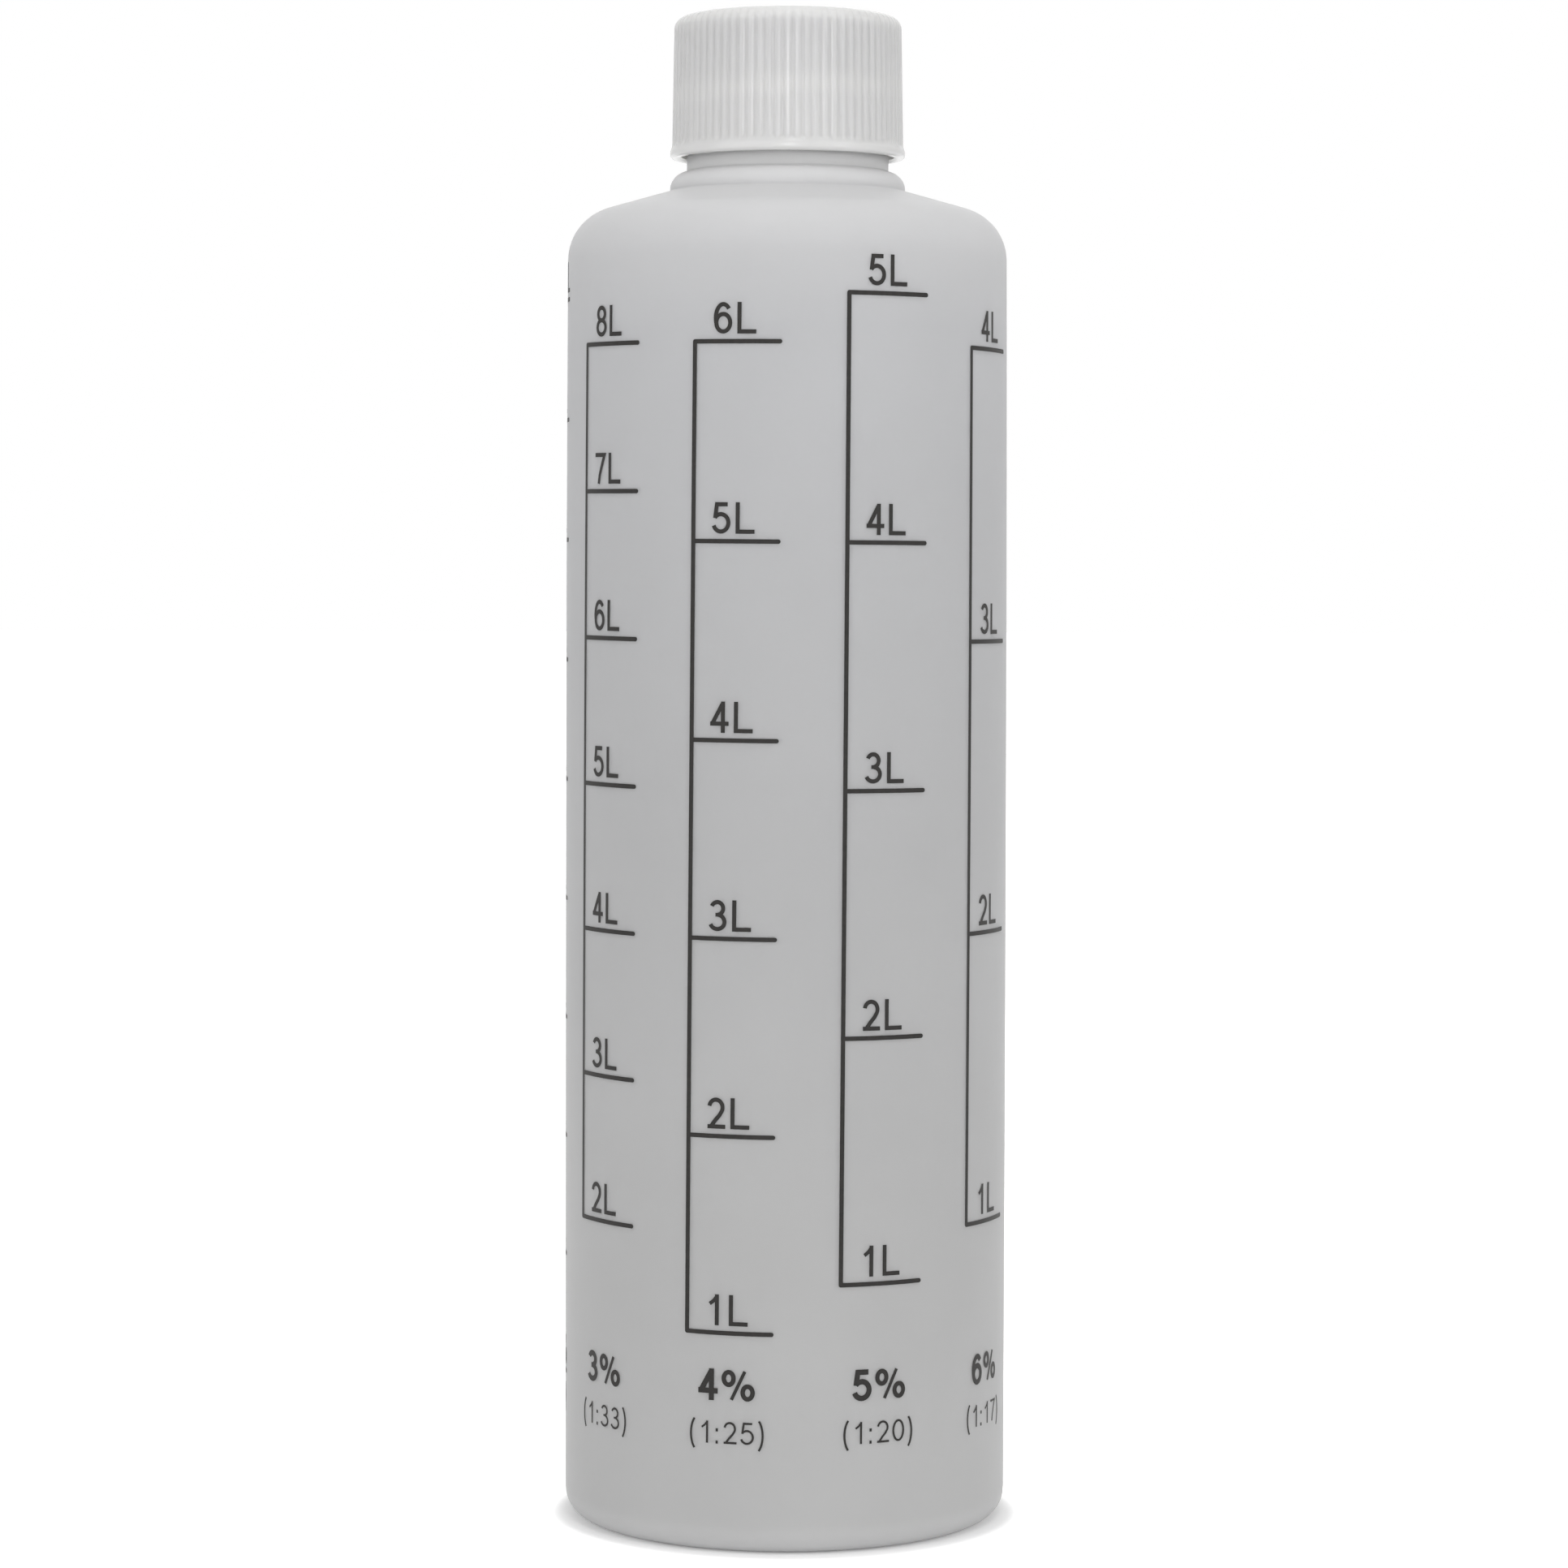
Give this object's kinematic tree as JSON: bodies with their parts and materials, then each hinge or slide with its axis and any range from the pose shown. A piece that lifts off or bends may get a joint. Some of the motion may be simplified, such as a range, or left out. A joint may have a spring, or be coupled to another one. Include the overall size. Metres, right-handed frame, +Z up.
{
  "type": "dosing bottle",
  "caption": "Round milky plastic bottle with printed dosing scales for mixing oil and a ribbed screw cap on a threaded neck.",
  "frame": {"origin": "middle of the base, at the level the bottle stands on", "axes": "+Z up along the bottle's axis; the printed dosing scales face -Y"},
  "size_m": [0.0504, 0.0504, 0.1708],
  "materials": {
    "bottle": "natural milky polyethylene, blown, satin",
    "cap": "natural polypropylene, moulded, slight gloss",
    "liner": "white closed-cell foam",
    "ink": "black screen-printed ink"
  },
  "bodies": {
    "bottle": {"bottle": "bottle"},
    "liner": {"cap_liner": "liner"},
    "cap": {"screw_cap": "cap"}
  },
  "joints": [
    {"name": "cap_rise", "type": "slide", "parent": "bottle", "child": "liner", "axis": [0, 0, 1], "range_m": [0, 0.0159]},
    {"name": "cap_turn", "type": "hinge", "parent": "liner", "child": "cap", "pos_m": [0, 0, 0.16], "axis": [0, 0, 1], "range_deg": [0, 1800]}
  ],
  "couplings": [
    {"joint": "cap_rise", "follows": "cap_turn", "m_per_rad": 0.00050532}
  ]
}
